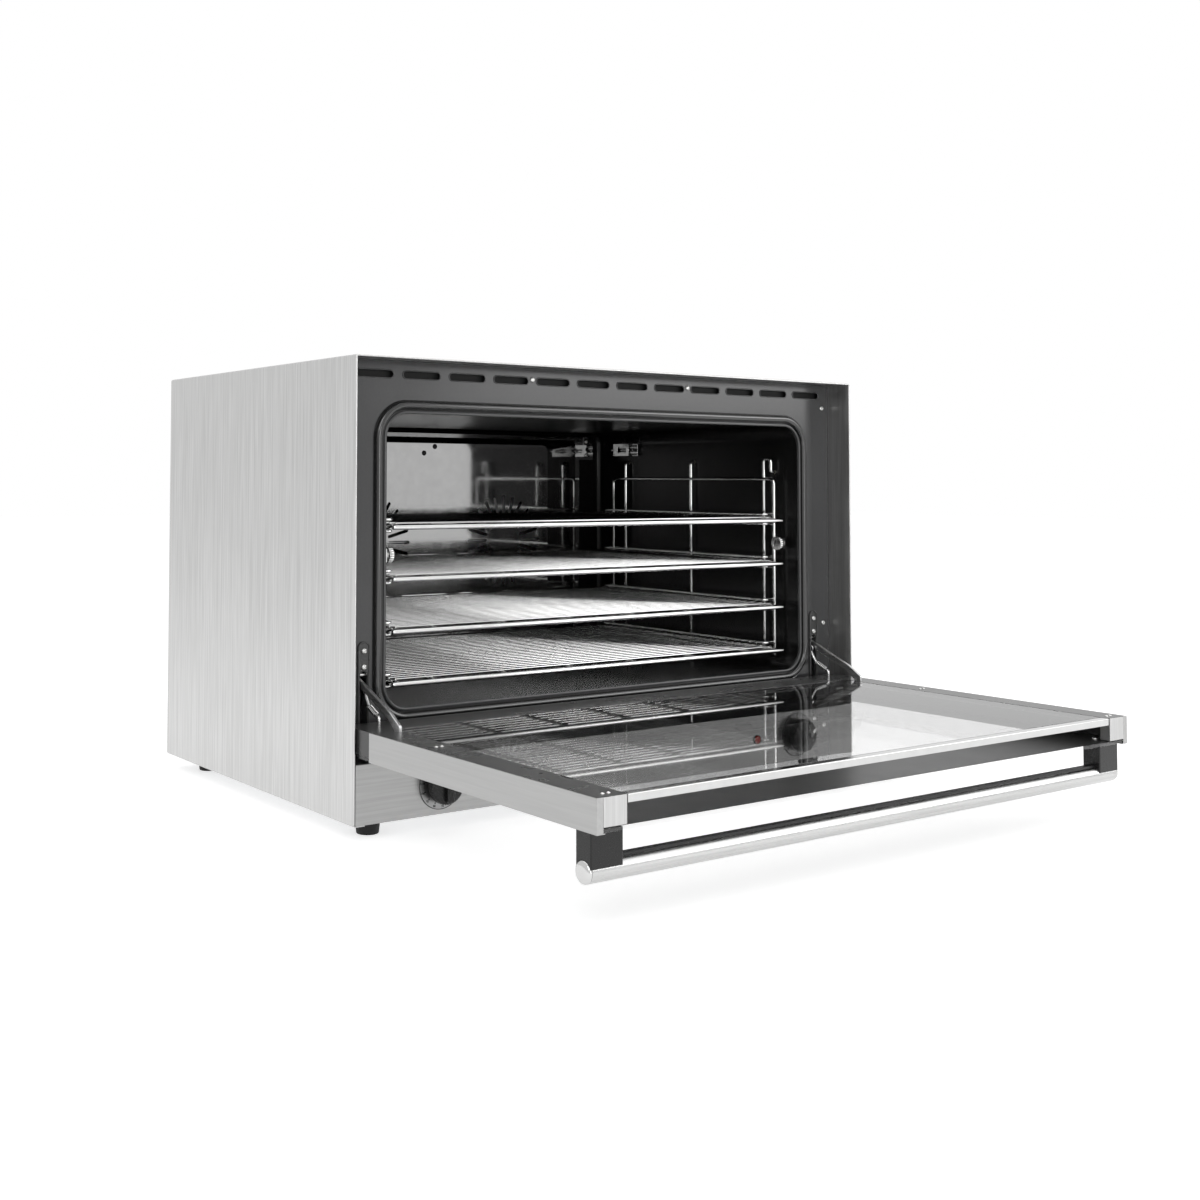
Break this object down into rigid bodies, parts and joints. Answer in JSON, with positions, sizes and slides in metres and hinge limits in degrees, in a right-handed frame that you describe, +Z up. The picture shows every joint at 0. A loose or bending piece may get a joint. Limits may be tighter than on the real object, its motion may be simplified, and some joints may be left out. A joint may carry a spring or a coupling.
{
  "type": "countertop convection oven",
  "caption": "Wide countertop convection oven with a drop-down glass door shown open, wire racks on side ladders, fans behind a baffle, and a control panel below.",
  "frame": {"origin": "on the counter, under the middle of the oven with its door open", "axes": "+X to the user's right, +Y from the open door towards the back, +Z up"},
  "size_m": [0.835, 0.9656, 0.555],
  "materials": {
    "casing_steel": "brushed",
    "zinc_sheet": "matt galvanised",
    "grey_enamel": "gloss",
    "black_enamel": "gloss",
    "door_black": "satin",
    "mineral_wool": "fibrous",
    "gasket_rubber": "matt",
    "chrome_wire": "polished",
    "polished_steel": "polished",
    "arm_steel": "satin",
    "heater_sheath": "oxidised",
    "motor_iron": "bare",
    "fan_aluminium": "satin",
    "dial_metal": "satin",
    "cast_corner": "satin",
    "black_plastic": "gloss",
    "dark_plastic": "matt",
    "red_lens": "gloss",
    "spindle_brass": "turned",
    "foot_rubber": "matt",
    "clear_glass": "gloss",
    "screw_steel": "satin"
  },
  "bodies": {
    "oven_body": {"outer_casing": "casing_steel", "back_panel": "zinc_sheet", "base_panel": "zinc_sheet", "front_frame": "grey_enamel", "control_panel": "casing_steel", "cavity_liner": "black_enamel", "insulation_wrap": "mineral_wool", "door_gasket": "gasket_rubber", "fan_baffle": "black_enamel", "rack_support_left": "chrome_wire", "rack_support_right": "chrome_wire", "support_nuts": "polished_steel", "heating_elements": "heater_sheath", "fan_motors": "motor_iron", "hinge_plates": "door_black", "hinge_channels": "zinc_sheet", "hinge_stops": "screw_steel", "pivot_pins": "polished_steel", "dial_plates": "dial_metal", "timer_body": "dark_plastic", "thermostat_body": "dark_plastic", "control_screws": "screw_steel", "indicator_lens": "red_lens", "indicator_body": "dark_plastic", "sensor_capillary": "polished_steel", "sensor_bracket": "polished_steel", "terminal_block": "dark_plastic", "cable_gland": "dark_plastic", "steam_pipe": "zinc_sheet", "feet": "foot_rubber", "foot_screws": "screw_steel", "panel_screws": "screw_steel", "back_screws": "screw_steel"},
    "door": {"door_inner_frame": "door_black", "door_side_trims": "casing_steel", "corner_blocks": "cast_corner", "door_top_rail": "polished_steel", "inner_glass": "clear_glass", "outer_glass": "clear_glass", "handle_tube": "polished_steel", "handle_caps": "polished_steel", "handle_brackets": "black_plastic", "handle_backing": "dark_plastic", "stay_arms": "arm_steel", "pivot_hooks": "polished_steel", "balance_springs": "screw_steel", "door_screws": "screw_steel", "handle_screws": "screw_steel"},
    "timer_control": {"timer_knob": "black_plastic", "timer_spindle": "spindle_brass"},
    "thermostat_control": {"thermostat_knob": "black_plastic", "thermostat_spindle": "spindle_brass"},
    "left_fan": {"fan_left": "fan_aluminium", "fan_shaft_left": "screw_steel"},
    "right_fan": {"fan_right": "fan_aluminium", "fan_shaft_right": "screw_steel"},
    "rack_1": {"wire_rack_1": "chrome_wire"},
    "rack_2": {"wire_rack_2": "chrome_wire"},
    "rack_3": {"wire_rack_3": "chrome_wire"},
    "rack_4": {"wire_rack_4": "chrome_wire"}
  },
  "joints": [
    {"name": "door_hinge", "type": "hinge", "parent": "oven_body", "child": "door", "pos_m": [0, -0.0442, 0.111], "axis": [1, 0, 0], "range_deg": [-90, 0]},
    {"name": "timer_turn", "type": "hinge", "parent": "oven_body", "child": "timer_control", "pos_m": [-0.3, -0.0622, 0.057], "axis": [0, -1, 0], "range_deg": [-300, 0]},
    {"name": "thermostat_turn", "type": "hinge", "parent": "oven_body", "child": "thermostat_control", "pos_m": [0.3, -0.0622, 0.057], "axis": [0, -1, 0], "range_deg": [-270, 0]},
    {"name": "left_fan_spin", "type": "hinge", "parent": "oven_body", "child": "left_fan", "pos_m": [-0.125, 0.4288, 0.316], "axis": [0, 1, 0], "continuous": true},
    {"name": "right_fan_spin", "type": "hinge", "parent": "oven_body", "child": "right_fan", "pos_m": [0.125, 0.4288, 0.316], "axis": [0, 1, 0], "continuous": true},
    {"name": "rack_1_slide", "type": "slide", "parent": "oven_body", "child": "rack_1", "axis": [0, -1, 0], "range_m": [0, 0.3]},
    {"name": "rack_2_slide", "type": "slide", "parent": "oven_body", "child": "rack_2", "axis": [0, -1, 0], "range_m": [0, 0.3]},
    {"name": "rack_3_slide", "type": "slide", "parent": "oven_body", "child": "rack_3", "axis": [0, -1, 0], "range_m": [0, 0.3]},
    {"name": "rack_4_slide", "type": "slide", "parent": "oven_body", "child": "rack_4", "axis": [0, -1, 0], "range_m": [0, 0.3]}
  ]
}
